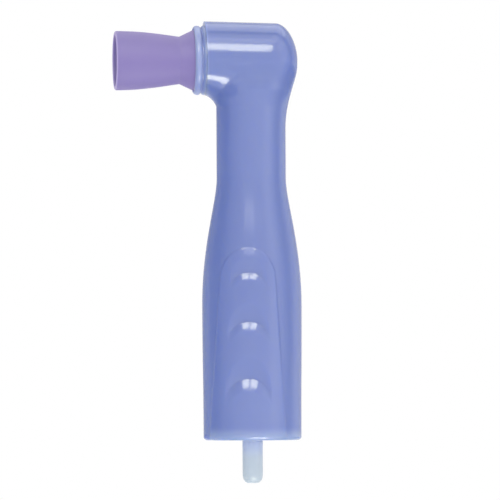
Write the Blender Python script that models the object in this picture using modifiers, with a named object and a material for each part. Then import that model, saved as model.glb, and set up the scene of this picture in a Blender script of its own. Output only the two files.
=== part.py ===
"""Disposable prophy angle for a straight handpiece, in metres, +Z up.

The sleeve's open end lies at z = 0 with the drive axis along +Z, and the cup points along -X.
Pieces on the cup's axis are modelled along their own +Z and laid over by the rotor axis empty,
so their axial sizes count from the drive axis towards the cup.
"""
from math import atan2, cos, degrees, hypot, pi, radians, sin, sqrt, tan

import bmesh
import bpy
import numpy as np
from mathutils import Matrix, Vector
from mathutils.geometry import interpolate_bezier

# Body: the sleeve, the waisted barrel and the neck
SLEEVE_RADIUS = 0.00566
SLEEVE_EDGE_ROUND = 0.0005
GRIP_RADIUS = 0.00575
GRIP_HEIGHT = 0.0155
FLARE_LENGTH = 0.0147
FLARE_LOW_PULL = 0.48
FLARE_HIGH_PULL = 0.18
NECK_RADIUS = 0.0040
NECK_LENGTH = 0.00825

# Head: a drum across the neck whose back is rounded over
HEAD_RADIUS = 0.00427
HEAD_RISE = 0.00023
HEAD_FRONT = 0.00535
HEAD_BACK = 0.00535
HEAD_TOP_FALL = 0.00025
HEAD_EDGE_ROUND = 0.0003
HEAD_WALL = 0.00095
CORNER_FULLNESS = 0.13
BACK_DROP = 0.0080
BACK_LOW_PULL = 0.0036
BACK_HIGH_PULL = 0.0028
CROWN_BACK = 0.0028
CROWN_LOW_PULL = 0.0021
CROWN_HIGH_PULL = 0.0014

# Grip: a raised tongue on the front and the back, with a row of finger scoops
PAD_HEIGHT = 0.00035
PAD_OFFSET = -0.0008
PAD_FOOT = 0.0006
PAD_FOOT_HALF_WIDTH = 0.0043
PAD_SPRING_HEIGHT = 0.0184
PAD_SPRING_HALF_WIDTH = 0.00315
PAD_ARCH_HEIGHT = 0.0040
SCOOP_COUNT = 3
SCOOP_SHRINK = 0.86
SCOOP_LIP_HEIGHT = 0.00552
SCOOP_PITCH = 0.00684
SCOOP_HEIGHT = 0.00388
SCOOP_HALF_WIDTH = 0.00243
SCOOP_DEPTH = 0.0006
SCOOP_VALLEY = 0.39
SCOOP_OVERRUN = 1.15

# Handpiece socket, bushing and drive shaft
SOCKET_RADIUS = 0.00325
SOCKET_DEPTH = 0.0200
SOCKET_LEAD_IN = 0.0004
SHANK_RADIUS = 0.001175
SHANK_STEP = 0.0002
TAIL_REACH = 0.00496
TAIL_TIP_RADIUS = 0.00106
TAIL_TIP_ROUND = 0.00065
BUSHING_RADIUS = 0.0026
BUSHING_LENGTH = 0.0045
BUSHING_FLANGE = 0.0008
COLLAR_THICKNESS = 0.0008
SHAFT_RADIUS = 0.0016
JOURNAL_LENGTH = 0.0030

# Bevel pair: both cones meet where the two axes cross
PINION_TEETH = 9
WHEEL_TEETH = 14
PRESSURE_ANGLE = radians(25)
ADDENDUM = 0.8
DEDENDUM = 1.0
FACE_WIDTH = 0.0011
BACKLASH = 0.00012
GEAR_CLEARANCE = 0.00025
CORE_SHARE = 0.85
WEB_SHARE = 0.95

# Rotor, cap and cup, along the cup's axis
HUB_RADIUS = 0.0013
WEB_THICKNESS = 0.0007
FRONT_JOURNAL_RADIUS = 0.0017
REAR_JOURNAL_RADIUS = 0.0010
REAR_JOURNAL_LENGTH = 0.0010
STUD_RADIUS = 0.0010
STUD_LENGTH = 0.0014
BUTTON_RADIUS = 0.0016
BUTTON_LENGTH = 0.0012
CAP_INSET = 0.00027
CAP_GROOVE = 0.0002
CAP_GROOVE_DEPTH = 0.00015
CAP_FLANGE = 0.00085
CAP_EDGE_ROUND = 0.00035
CUP_LENGTH = 0.00915
CUP_BASE_RADIUS = 0.0036
CUP_WAIST_RADIUS = 0.00274
CUP_WAIST_AT = 0.0018
CUP_MOUTH_RADIUS = 0.00342
CUP_MOUTH_PULL = 0.45
CUP_WAIST_PULL = 0.25
CUP_WAIST_SLOPE = 0.13
CUP_WALL = 0.0005
CUP_FLOOR_DEPTH = 0.0052
CUP_FLOOR_RADIUS = 0.0020
CUP_RIM_ROUND = 0.0002
CUP_WEBS = 8
CUP_WEB_HEIGHT = 0.0006
CUP_WEB_THICKNESS = 0.0004
CUP_WEB_SETBACK = 0.0010
CUP_WEB_ROOT = 0.00017

# Clearances
RUN_CLEARANCE = 0.00008
SEAT_CLEARANCE = 0.00005
END_PLAY = 0.00015

# Mesh fineness and the spare length of a cutter that runs out of the solid
BODY_SEGMENTS = 48
TURN_SEGMENTS = 36
EDGE_STEPS = 3
BARREL_STEPS = 5
FLARE_STEPS = 14
BACK_STEPS = 9
CROWN_STEPS = 8
TOP_STEPS = 7
ARCH_STEPS = 20
SCOOP_STEPS_ACROSS = 12
SCOOP_STEPS_UP = 6
FLANK_STEPS = 5
NOSE_STEPS = 5
CAP_FRONT_STEPS = 4
CUP_STEPS = 10
SHARP_ANGLE = radians(35)
CUTTER_SPARE = 0.001
MERGE = 0.0000002

# Heights and radii that follow from the sizes above
corner_fillet = HEAD_FRONT - NECK_RADIUS
flare_top = GRIP_HEIGHT + FLARE_LENGTH
corner_height = flare_top + NECK_LENGTH
head_bottom = corner_height + corner_fillet
head_top = head_bottom + 2 * HEAD_RADIUS
head_axis = head_bottom + HEAD_RADIUS - HEAD_RISE

head_bore = HEAD_RADIUS - HEAD_WALL
wheel_tip_radius = head_bore - GEAR_CLEARANCE
wheel_cone = atan2(WHEEL_TEETH, PINION_TEETH)
pinion_cone = pi / 2 - wheel_cone
cone_in_modules = hypot(WHEEL_TEETH, PINION_TEETH) / 2
addendum_angle = ADDENDUM / cone_in_modules
dedendum_angle = DEDENDUM / cone_in_modules
cone_distance = wheel_tip_radius / sin(wheel_cone + addendum_angle)
tooth_module = cone_distance / cone_in_modules
inner_cone_distance = cone_distance - FACE_WIDTH
pinion_root = pinion_cone - dedendum_angle
wheel_root = wheel_cone - dedendum_angle
pinion_tip_radius = cone_distance * sin(pinion_cone + addendum_angle)
neck_bore = pinion_tip_radius + RUN_CLEARANCE

bushing_seat = BUSHING_RADIUS + SEAT_CLEARANCE
bushing_top = SOCKET_DEPTH + BUSHING_LENGTH
collar_bottom = bushing_top + END_PLAY
collar_top = collar_bottom + COLLAR_THICKNESS
seat_top = collar_top + END_PLAY
rear_journal = SHANK_RADIUS + SHANK_STEP
drive_bore_top = head_axis - HUB_RADIUS / 2

chamber_radius = neck_bore + GEAR_CLEARANCE
chamber_back = neck_bore + GEAR_CLEARANCE
web_front = cone_distance * cos(wheel_root)
web_back = web_front + WEB_THICKNESS
cap_inner_end = web_back + END_PLAY
cap_seat = HEAD_FRONT + SEAT_CLEARANCE
cap_flange_back = cap_seat + CAP_GROOVE
cap_front = cap_flange_back + CAP_FLANGE
cap_radius = HEAD_RADIUS - CAP_INSET
cup_base = cap_front + END_PLAY
stud_start = cup_base - SEAT_CLEARANCE
button_start = stud_start + STUD_LENGTH
button_end = button_start + BUTTON_LENGTH
cup_rim = cup_base + CUP_LENGTH


def clear_scene():
    for old in list(bpy.data.objects):
        bpy.data.objects.remove(old, do_unlink=True)


def new_collection(name):
    collection = bpy.data.collections.new(name)
    bpy.context.scene.collection.children.link(collection)
    return collection


def plastic(name, colour, roughness):
    material = bpy.data.materials.new(name)
    material.use_nodes = True
    shader = material.node_tree.nodes["Principled BSDF"]
    shader.inputs["Base Color"].default_value = (*colour, 1.0)
    shader.inputs["Roughness"].default_value = roughness
    shader.inputs["Metallic"].default_value = 0.0
    return material


def add_object(name, mesh, parent=None):
    """A cutter unless finish() makes it a piece."""
    mesh.shade_smooth()
    mesh.set_sharp_from_angle(angle=SHARP_ANGLE)
    obj = bpy.data.objects.new(name, mesh)
    obj.parent = parent
    obj.hide_render = True
    obj.display_type = "WIRE"
    cutters.objects.link(obj)
    return obj


def finish(obj, material):
    """Move a modelled object from the cutters to the product's own pieces."""
    cutters.objects.unlink(obj)
    product.objects.link(obj)
    obj.hide_render = False
    obj.display_type = "TEXTURED"
    obj.data.materials.append(material)
    return obj


def mesh_from(bm, name):
    mesh = bpy.data.meshes.new(name)
    bm.to_mesh(mesh)
    bm.free()
    return mesh


def boolean(obj, other, operation):
    cut = obj.modifiers.new(f"{operation.title()} {other.name}", "BOOLEAN")
    cut.operation = operation
    cut.solver = "EXACT"
    cut.object = other


def turned(name, profile, parent=None, ring=False):
    """Turn (radius, height) points about Z; the profile runs down the outer side."""
    count = len(profile)
    edges = [(i, i + 1) for i in range(count - 1)]
    if ring:
        edges.append((count - 1, 0))
    mesh = bpy.data.meshes.new(name)
    mesh.from_pydata([(radius, 0, height) for radius, height in profile], edges, [])
    obj = add_object(name, mesh, parent)
    turn = obj.modifiers.new("Turn", "SCREW")
    turn.axis = "Z"
    turn.angle = 2 * pi
    turn.steps = turn.render_steps = TURN_SEGMENTS
    turn.use_merge_vertices = True
    turn.merge_threshold = MERGE
    turn.use_smooth_shade = True
    return obj


def arc(centre, radius, start, end, steps):
    """Points from one angle to another, in degrees, around (x, z)."""
    angles = [radians(start + (end - start) * i / steps) for i in range(steps + 1)]
    return [(centre[0] + radius * cos(a), centre[1] + radius * sin(a)) for a in angles]


def bezier(start, start_handle, end_handle, end, steps):
    """Points of one cubic span after its first point."""
    knots = [Vector(point) for point in (start, start_handle, end_handle, end)]
    return [tuple(point) for point in interpolate_bezier(*knots, steps + 1)][1:]


def sleeve_outline():
    """The right-hand outline of the sleeve, barrel and flare, from the open end to the neck."""
    edge_centre = (SLEEVE_RADIUS - SLEEVE_EDGE_ROUND, SLEEVE_EDGE_ROUND)
    edge = arc(edge_centre, SLEEVE_EDGE_ROUND, -90, 0, EDGE_STEPS)
    middle = (SLEEVE_EDGE_ROUND + GRIP_HEIGHT) / 2
    barrel = bezier(
        edge[-1],
        (SLEEVE_RADIUS, middle),
        (GRIP_RADIUS, middle),
        (GRIP_RADIUS, GRIP_HEIGHT),
        BARREL_STEPS,
    )
    flare = bezier(
        barrel[-1],
        (GRIP_RADIUS, GRIP_HEIGHT + FLARE_LOW_PULL * FLARE_LENGTH),
        (NECK_RADIUS, flare_top - FLARE_HIGH_PULL * FLARE_LENGTH),
        (NECK_RADIUS, flare_top),
        FLARE_STEPS,
    )
    return edge + barrel + flare


def head_outline():
    """The outline from the neck up the back of the head and along its top to the mouth."""
    neck_end = (NECK_RADIUS, head_axis - BACK_DROP)
    back = (HEAD_BACK, head_axis)
    crown = (CROWN_BACK, head_top - HEAD_TOP_FALL)
    lower = bezier(
        neck_end,
        (NECK_RADIUS, neck_end[1] + BACK_LOW_PULL),
        (HEAD_BACK, head_axis - BACK_HIGH_PULL),
        back,
        BACK_STEPS,
    )
    upper = bezier(
        back,
        (HEAD_BACK, head_axis + CROWN_LOW_PULL),
        (CROWN_BACK + CROWN_HIGH_PULL, crown[1]),
        crown,
        CROWN_STEPS,
    )
    mouth = (-HEAD_FRONT, head_top)
    top = bezier(crown, crown, mouth, mouth, TOP_STEPS)
    return [neck_end] + lower + upper + top


def body_rings():
    """Each ring is an oval between a point on the front outline and one on the back outline."""
    rings = [((-x, z), (x, z), x) for x, z in sleeve_outline()]
    corner = Vector((-HEAD_FRONT, corner_height))
    for x, z in head_outline():
        inner = Vector((-NECK_RADIUS, z))
        depth = NECK_RADIUS
        if z > corner_height:
            reach = Vector((x, z)) - corner
            turn = atan2(reach.y, reach.x)
            fillet = corner_fillet * (1 - CORNER_FULLNESS * sin(2 * turn))
            inner = corner + reach.normalized() * fillet
            depth = NECK_RADIUS + (HEAD_RADIUS - NECK_RADIUS) * turn / (pi / 2)
        rings.append((tuple(inner), (x, z), depth))
    return rings


def round_mouth(rings):
    """Swap the last ring for a few that round the head's front edge over."""
    inner, outer, depth = rings.pop()
    edge_centre = (HEAD_EDGE_ROUND, HEAD_EDGE_ROUND)
    for back, inset in arc(edge_centre, HEAD_EDGE_ROUND, 270, 180, EDGE_STEPS):
        lower = (inner[0], inner[1] + inset)
        upper = (outer[0] + back, outer[1] - inset)
        rings.append((lower, upper, depth - inset))
    return rings


def loft(name, rings):
    """Skin oval rings from the bottom up and close both ends."""
    bm = bmesh.new()
    loops = []
    for inner, outer, depth in rings:
        centre = (Vector(inner) + Vector(outer)) / 2
        reach = (Vector(outer) - Vector(inner)) / 2
        loop = []
        for i in range(BODY_SEGMENTS):
            angle = 2 * pi * i / BODY_SEGMENTS
            point = centre + reach * cos(angle)
            loop.append(bm.verts.new((point.x, depth * sin(angle), point.y)))
        loops.append(loop)
    for lower, upper in zip(loops, loops[1:]):
        for i in range(BODY_SEGMENTS):
            j = (i + 1) % BODY_SEGMENTS
            bm.faces.new((lower[i], lower[j], upper[j], upper[i]))
    bm.faces.new(reversed(loops[0]))
    bm.faces.new(loops[-1])
    return add_object(name, mesh_from(bm, name))


def barrel_radius(height):
    outline = sleeve_outline()
    return float(np.interp(height, [z for _, z in outline], [x for x, _ in outline]))


def grip_pads():
    """The barrel grown by the pad's height, kept only inside a tongue-shaped prism."""
    above = [(x, z) for x, z in sleeve_outline() if z > PAD_FOOT]
    grown = [(barrel_radius(PAD_FOOT), PAD_FOOT)] + above
    rings = [((-x - PAD_HEIGHT, z), (x + PAD_HEIGHT, z), x + PAD_HEIGHT) for x, z in grown]
    pads = loft("grip_pads", rings)

    spread = (PAD_FOOT_HALF_WIDTH - PAD_SPRING_HALF_WIDTH) / (PAD_SPRING_HEIGHT - PAD_FOOT)
    low_half = PAD_FOOT_HALF_WIDTH + spread * CUTTER_SPARE
    low = PAD_FOOT - CUTTER_SPARE
    arch = [
        (PAD_SPRING_HALF_WIDTH * cos(a), PAD_SPRING_HEIGHT + PAD_ARCH_HEIGHT * sin(a))
        for a in [pi * i / ARCH_STEPS for i in range(ARCH_STEPS + 1)]
    ]
    outline = [(x + PAD_OFFSET, z) for x, z in [(low_half, low), *arch, (-low_half, low)]]
    tongue = prism("grip_tongue", outline, GRIP_RADIUS + PAD_HEIGHT + CUTTER_SPARE)
    boolean(pads, tongue, "INTERSECT")
    return pads


def prism(name, outline, half_depth):
    """A flat outline in XZ, filled and extruded both ways along Y, as a welded mesh."""
    curve = bpy.data.curves.new(name, "CURVE")
    curve.dimensions = "2D"
    curve.fill_mode = "BOTH"
    curve.extrude = half_depth
    spline = curve.splines.new("POLY")
    spline.points.add(len(outline) - 1)
    spline.use_cyclic_u = True
    for point, (x, z) in zip(spline.points, outline):
        point.co = (x, z, 0.0, 1.0)
    flat = bpy.data.objects.new(name, curve)
    flat.rotation_euler = (pi / 2, 0, 0)
    cutters.objects.link(flat)
    bpy.context.view_layer.update()
    evaluated = flat.evaluated_get(bpy.context.evaluated_depsgraph_get())
    bm = bmesh.new()
    bm.from_mesh(bpy.data.meshes.new_from_object(evaluated))
    bmesh.ops.remove_doubles(bm, verts=bm.verts, dist=MERGE)
    bmesh.ops.recalc_face_normals(bm, faces=bm.faces)
    place = flat.matrix_world.copy()
    bpy.data.objects.remove(flat)
    obj = add_object(name, mesh_from(bm, name))
    obj.matrix_world = place
    return obj


def scoop_cutters():
    """Arched finger scoops: a floor that sinks towards a valley, and a ledge that rises out of it."""
    bm = bmesh.new()
    outside = GRIP_RADIUS + PAD_HEIGHT + CUTTER_SPARE
    for side in (-1, 1):
        lip = SCOOP_LIP_HEIGHT
        for size in [SCOOP_SHRINK**k for k in range(SCOOP_COUNT)]:
            one_scoop(bm, side, lip, size, outside)
            lip += SCOOP_PITCH * size
    bmesh.ops.recalc_face_normals(bm, faces=bm.faces)
    return add_object("scoop_cutters", mesh_from(bm, "scoop_cutters"))


def one_scoop(bm, side, lip, size, outside):
    """A sheet bent to the scoop's two slopes, which rises out of the pad past the scoop's edge."""
    grid = bmesh.ops.create_grid(
        bm, x_segments=SCOOP_STEPS_ACROSS, y_segments=SCOOP_STEPS_UP, size=SCOOP_OVERRUN
    )["verts"]
    ledge_length = SCOOP_VALLEY * SCOOP_HEIGHT * size
    floor_length = SCOOP_HEIGHT * size - ledge_length
    for vert in grid:
        across, up = vert.co.x, vert.co.y
        fall = 1 - across**2
        depth = SCOOP_DEPTH * size * (fall - abs(up))
        height = lip + ledge_length * fall + up * (ledge_length if up < 0 else floor_length)
        x = across * SCOOP_HALF_WIDTH * size + PAD_OFFSET
        surface = sqrt((barrel_radius(height) + PAD_HEIGHT) ** 2 - x**2)
        vert.co = (x, side * (surface - depth), height)
    faces = list({face for vert in grid for face in vert.link_faces})
    grown = bmesh.ops.extrude_face_region(bm, geom=faces)["geom"]
    for vert in [item for item in grown if isinstance(item, bmesh.types.BMVert)]:
        vert.co.y = side * outside


def drive_bore():
    """Socket, bushing seat and neck bore, as one cutter along Z."""
    mouth_radius = SOCKET_RADIUS + SOCKET_LEAD_IN
    profile = [
        (0, drive_bore_top),
        (neck_bore, drive_bore_top),
        (neck_bore, seat_top),
        (bushing_seat, seat_top),
        (bushing_seat, SOCKET_DEPTH),
        (SOCKET_RADIUS, SOCKET_DEPTH),
        (SOCKET_RADIUS, SOCKET_LEAD_IN),
        (mouth_radius, 0),
        (mouth_radius, -CUTTER_SPARE),
        (0, -CUTTER_SPARE),
    ]
    return turned("drive_bore", profile)


def head_bore_cutter():
    """Gear chamber, clearance over the pinion and the blind rear bearing, along the cup's axis."""
    rear_bore = REAR_JOURNAL_RADIUS + RUN_CLEARANCE
    chamber_start = inner_cone_distance * cos(wheel_cone + addendum_angle) - GEAR_CLEARANCE
    rear_end = -chamber_back - REAR_JOURNAL_LENGTH - END_PLAY
    profile = [
        (0, HEAD_FRONT + CUTTER_SPARE),
        (head_bore, HEAD_FRONT + CUTTER_SPARE),
        (head_bore, chamber_start),
        (chamber_radius, chamber_start),
        (chamber_radius, -chamber_back),
        (rear_bore, -chamber_back),
        (rear_bore, rear_end),
        (0, rear_end),
    ]
    return turned("head_bore", profile, rotor_axis)


def make_housing(material):
    housing = loft("housing", round_mouth(body_rings()))
    boolean(housing, grip_pads(), "UNION")
    boolean(housing, drive_bore(), "DIFFERENCE")
    boolean(housing, head_bore_cutter(), "DIFFERENCE")
    boolean(housing, scoop_cutters(), "DIFFERENCE")
    return finish(housing, material)


def half_tooth(radius, pitch_radius):
    """Half a tooth's angle at a radius of the flattened back cone, with involute flanks."""
    def involute(angle):
        return tan(angle) - angle

    base = pitch_radius * cos(PRESSURE_ANGLE)
    working = max(radius, base)
    pressure = atan2(sqrt(working**2 - base**2), base)
    at_pitch = (pi * tooth_module / 2 - BACKLASH) / (2 * pitch_radius)
    return at_pitch + involute(PRESSURE_ANGLE) - involute(pressure)


def tooth_outline(teeth, cone):
    """(cone angle, turn) points of all teeth in order round the gear."""
    pitch_radius = cone_distance * tan(cone)
    root = pitch_radius - DEDENDUM * tooth_module
    tip = pitch_radius + ADDENDUM * tooth_module
    radii = [root + (tip - root) * i / FLANK_STEPS for i in range(FLANK_STEPS + 1)]
    flank = [(radius, half_tooth(radius, pitch_radius)) for radius in radii]
    sides = [(radius, -half) for radius, half in flank]
    sides += reversed(flank)
    outline = []
    for tooth in range(teeth):
        centre = 2 * pi * tooth / teeth
        for radius, turn in sides:
            angle = cone + (radius - pitch_radius) / cone_distance
            outline.append((angle, centre + turn / cos(cone)))
    return outline


def bevel_teeth(name, teeth, cone, root, phase, parent):
    """Teeth between two spheres about the apex, which is the object's origin; its axis is +Z."""
    bm = bmesh.new()
    outline = tooth_outline(teeth, cone)
    loops = []
    for distance in (inner_cone_distance, cone_distance):
        loop = []
        for angle, turn in outline:
            radius = distance * sin(angle)
            place = (radius * cos(turn + phase), radius * sin(turn + phase), distance * cos(angle))
            loop.append(bm.verts.new(place))
        loops.append((loop, bm.verts.new((0, 0, distance * cos(root)))))
    (small, small_centre), (large, large_centre) = loops
    for i in range(len(outline)):
        j = (i + 1) % len(outline)
        bm.faces.new((small[i], small[j], large[j], large[i]))
        bm.faces.new((small_centre, small[j], small[i]))
        bm.faces.new((large_centre, large[i], large[j]))
    return add_object(name, mesh_from(bm, name), parent)


def make_drive_shaft(material):
    """Tail, journals, thrust collar and pinion; the shaft's origin lies on its own axis."""
    shoulder = head_axis - cone_distance - GEAR_CLEARANCE
    core_top = head_axis - inner_cone_distance * cos(pinion_root) - GEAR_CLEARANCE
    core_radius = CORE_SHARE * inner_cone_distance * sin(pinion_root)
    relief_radius = CORE_SHARE * cone_distance * sin(pinion_root)
    relief_top = head_axis - cone_distance * cos(pinion_root) + GEAR_CLEARANCE
    journal_bottom = shoulder - JOURNAL_LENGTH
    collar_radius = bushing_seat - RUN_CLEARANCE
    step_bottom = SOCKET_DEPTH - BUSHING_FLANGE - END_PLAY
    tip_centre = (TAIL_TIP_RADIUS - TAIL_TIP_ROUND, -TAIL_REACH + TAIL_TIP_ROUND)
    profile = [
        (0, core_top),
        (core_radius, core_top),
        (relief_radius, relief_top),
        (relief_radius, shoulder),
        (pinion_tip_radius, shoulder),
        (pinion_tip_radius, journal_bottom),
        (SHAFT_RADIUS, journal_bottom - (pinion_tip_radius - SHAFT_RADIUS)),
        (SHAFT_RADIUS, collar_top),
        (collar_radius, collar_top),
        (collar_radius, collar_bottom),
        (rear_journal, collar_bottom),
        (rear_journal, step_bottom),
        (SHANK_RADIUS, step_bottom - SHANK_STEP),
        (SHANK_RADIUS, 0),
        *arc(tip_centre, TAIL_TIP_ROUND, 0, -90, NOSE_STEPS),
        (0, -TAIL_REACH),
    ]
    shaft = turned("drive_shaft", profile)
    apex = bpy.data.objects.new("pinion_apex", None)
    apex.location = (0, 0, head_axis)
    apex.rotation_euler = (pi, 0, 0)
    product.objects.link(apex)
    teeth = bevel_teeth("pinion_teeth", PINION_TEETH, pinion_cone, pinion_root, pi, apex)
    boolean(shaft, teeth, "UNION")
    return finish(shaft, material)


def make_rear_bushing(material):
    bore = rear_journal + RUN_CLEARANCE
    flange_radius = SOCKET_RADIUS - SEAT_CLEARANCE
    flange_top = SOCKET_DEPTH - SEAT_CLEARANCE
    flange_bottom = flange_top - BUSHING_FLANGE
    profile = [
        (bore, bushing_top),
        (BUSHING_RADIUS - SEAT_CLEARANCE, bushing_top),
        (BUSHING_RADIUS, bushing_top - SEAT_CLEARANCE),
        (BUSHING_RADIUS, flange_top),
        (flange_radius, flange_top),
        (flange_radius, flange_bottom),
        (bore, flange_bottom),
    ]
    return finish(turned("rear_bushing", profile, ring=True), material)


def make_driven_gear(material):
    """Rear journal, hub, toothed wheel, front journal, stud and button, from the cup end back."""
    rear_end = -chamber_back - REAR_JOURNAL_LENGTH
    hub_end = -chamber_back + END_PLAY
    nose_round = BUTTON_LENGTH / 2
    nose_centre = (BUTTON_RADIUS - nose_round, button_end - nose_round)
    web_radius = WEB_SHARE * cone_distance * sin(wheel_root)
    web_core = web_front - GEAR_CLEARANCE
    profile = [
        (0, button_end),
        *arc(nose_centre, nose_round, 90, 0, NOSE_STEPS),
        (BUTTON_RADIUS, button_start),
        (STUD_RADIUS, button_start),
        (STUD_RADIUS, stud_start),
        (FRONT_JOURNAL_RADIUS, stud_start),
        (FRONT_JOURNAL_RADIUS, web_back),
        (web_radius, web_back),
        (web_radius, web_front + GEAR_CLEARANCE),
        (WEB_SHARE * web_core * tan(wheel_root), web_core),
        (HUB_RADIUS, web_core),
        (HUB_RADIUS, hub_end),
        (REAR_JOURNAL_RADIUS, hub_end),
        (REAR_JOURNAL_RADIUS, rear_end),
        (0, rear_end),
    ]
    gear = turned("driven_gear", profile, rotor_axis)
    phase = pi + pi / WHEEL_TEETH
    teeth = bevel_teeth("wheel_teeth", WHEEL_TEETH, wheel_cone, wheel_root, phase, rotor_axis)
    boolean(gear, teeth, "UNION")
    return finish(gear, material)


def make_head_cap(material):
    """Snap-in ring: a rounded flange, a shallow groove, and a plug with the front bearing."""
    bore = FRONT_JOURNAL_RADIUS + RUN_CLEARANCE
    plug_radius = head_bore - SEAT_CLEARANCE
    groove_radius = cap_radius - CAP_GROOVE_DEPTH
    edge = cap_radius - CAP_EDGE_ROUND
    profile = [
        (bore, cap_front),
        *arc((edge, cap_front - CAP_EDGE_ROUND), CAP_EDGE_ROUND, 90, 0, CAP_FRONT_STEPS),
        *arc((edge, cap_flange_back + CAP_EDGE_ROUND), CAP_EDGE_ROUND, 0, -60, EDGE_STEPS),
        (groove_radius, cap_flange_back),
        (groove_radius, cap_seat),
        (plug_radius, cap_seat),
        (plug_radius, cap_inner_end),
        (bore, cap_inner_end),
    ]
    return finish(turned("head_cap", profile, rotor_axis, ring=True), material)


def cup_outer_wall():
    """The cup's outside from the rim down to the base ring."""
    waist = cup_base + CUP_WAIST_AT
    span = cup_rim - waist
    wall = bezier(
        (CUP_MOUTH_RADIUS, cup_rim - CUP_RIM_ROUND),
        (CUP_MOUTH_RADIUS, cup_rim - CUP_MOUTH_PULL * span),
        (CUP_WAIST_RADIUS + CUP_WAIST_SLOPE * CUP_WAIST_PULL * span, waist + CUP_WAIST_PULL * span),
        (CUP_WAIST_RADIUS, waist),
        CUP_STEPS,
    )
    return wall + [(CUP_BASE_RADIUS, cup_base)]


def cup_web(bm, turn):
    """One thin web on the inside wall, rooted in the wall and the floor."""
    top = cup_rim - CUP_WEB_SETBACK
    floor = cup_rim - CUP_FLOOR_DEPTH
    slope = (CUP_MOUTH_RADIUS - CUP_WALL - CUP_FLOOR_RADIUS) / CUP_FLOOR_DEPTH
    top_wall = CUP_FLOOR_RADIUS + slope * (top - floor)
    outline = [
        (CUP_FLOOR_RADIUS - CUP_WEB_HEIGHT, floor - CUP_WEB_ROOT),
        (CUP_FLOOR_RADIUS + CUP_WEB_ROOT, floor - CUP_WEB_ROOT),
        (top_wall + CUP_WEB_ROOT, top),
        (top_wall - CUP_WEB_HEIGHT / 2, top),
    ]
    side = -CUP_WEB_THICKNESS / 2
    face = bm.faces.new([bm.verts.new((r, side, z)) for r, z in outline])
    grown = bmesh.ops.extrude_face_region(bm, geom=[face])["geom"]
    moved = [item for item in grown if isinstance(item, bmesh.types.BMVert)]
    bmesh.ops.translate(bm, verts=moved, vec=(0, CUP_WEB_THICKNESS, 0))
    place = Matrix.Rotation(turn, 3, "Z")
    bmesh.ops.rotate(bm, verts=[*face.verts, *moved], cent=(0, 0, 0), matrix=place)


def make_prophy_cup(material):
    """Hollow, webbed cup with a pocket that snaps over the rotor's button."""
    floor = cup_rim - CUP_FLOOR_DEPTH
    mouth_inside = CUP_MOUTH_RADIUS - CUP_WALL
    profile = [
        (0, floor),
        (CUP_FLOOR_RADIUS, floor),
        (mouth_inside, cup_rim),
        (CUP_MOUTH_RADIUS - CUP_RIM_ROUND, cup_rim),
        (CUP_MOUTH_RADIUS, cup_rim - CUP_RIM_ROUND),
        *cup_outer_wall(),
        (STUD_RADIUS + SEAT_CLEARANCE, cup_base),
        (STUD_RADIUS + SEAT_CLEARANCE, button_start - SEAT_CLEARANCE),
        (BUTTON_RADIUS + SEAT_CLEARANCE, button_start - SEAT_CLEARANCE),
        (BUTTON_RADIUS + SEAT_CLEARANCE, button_end + SEAT_CLEARANCE),
        (0, button_end + SEAT_CLEARANCE),
    ]
    cup = turned("prophy_cup", profile, rotor_axis)
    bm = bmesh.new()
    for web in range(CUP_WEBS):
        cup_web(bm, 2 * pi * (web + 0.5) / CUP_WEBS)
    bmesh.ops.recalc_face_normals(bm, faces=bm.faces)
    boolean(cup, add_object("cup_webs", mesh_from(bm, "cup_webs"), rotor_axis), "UNION")
    return finish(cup, material)


clear_scene()
product = new_collection("prophy_angle")
cutters = new_collection("prophy_angle_cutters")
rotor_axis = bpy.data.objects.new("rotor_axis", None)
rotor_axis.location = (0, 0, head_axis)
rotor_axis.rotation_euler = (0, -pi / 2, 0)
product.objects.link(rotor_axis)

body_plastic = plastic("body_plastic", (0.24, 0.31, 0.60), 0.22)
cap_plastic = plastic("cap_plastic", (0.36, 0.44, 0.68), 0.25)
natural_plastic = plastic("natural_plastic", (0.52, 0.60, 0.70), 0.35)
gear_plastic = plastic("gear_plastic", (0.60, 0.62, 0.64), 0.4)
bushing_plastic = plastic("bushing_plastic", (0.55, 0.57, 0.60), 0.4)
cup_rubber = plastic("cup_rubber", (0.33, 0.27, 0.56), 0.6)

make_housing(body_plastic)
make_head_cap(cap_plastic)
make_driven_gear(gear_plastic)
make_prophy_cup(cup_rubber)
make_drive_shaft(natural_plastic)
make_rear_bushing(bushing_plastic)

print(f"cup axis {head_axis * 1000:.2f} mm above the sleeve's end, head top {head_top * 1000:.2f} mm")
print(f"tooth module {tooth_module * 1000:.3f} mm, pinion tip radius {pinion_tip_radius * 1000:.3f} mm")
print(f"fillet under the head {corner_fillet * 1000:.2f} mm, pinion cone {degrees(pinion_cone):.1f} degrees")
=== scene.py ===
# %% [markdown]
# # A disposable prophy angle
#
# A prophy angle is the small tool that a dental hygienist pushes on a straight handpiece to polish teeth.
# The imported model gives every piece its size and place, but in flat facets. Here the pieces that show are
# modelled again with fine, rounded surfaces, each in the finish of its plastic or rubber. Lengths are
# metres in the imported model's frame: the drive axis is +Z, the cup points along -X, the grip faces -Y.

from bisect import bisect
from math import atan2, cos, hypot, pi, radians, sin, sqrt

import bmesh
import bpy
from mathutils import Matrix, Vector
from mathutils.geometry import interpolate_bezier


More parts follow.
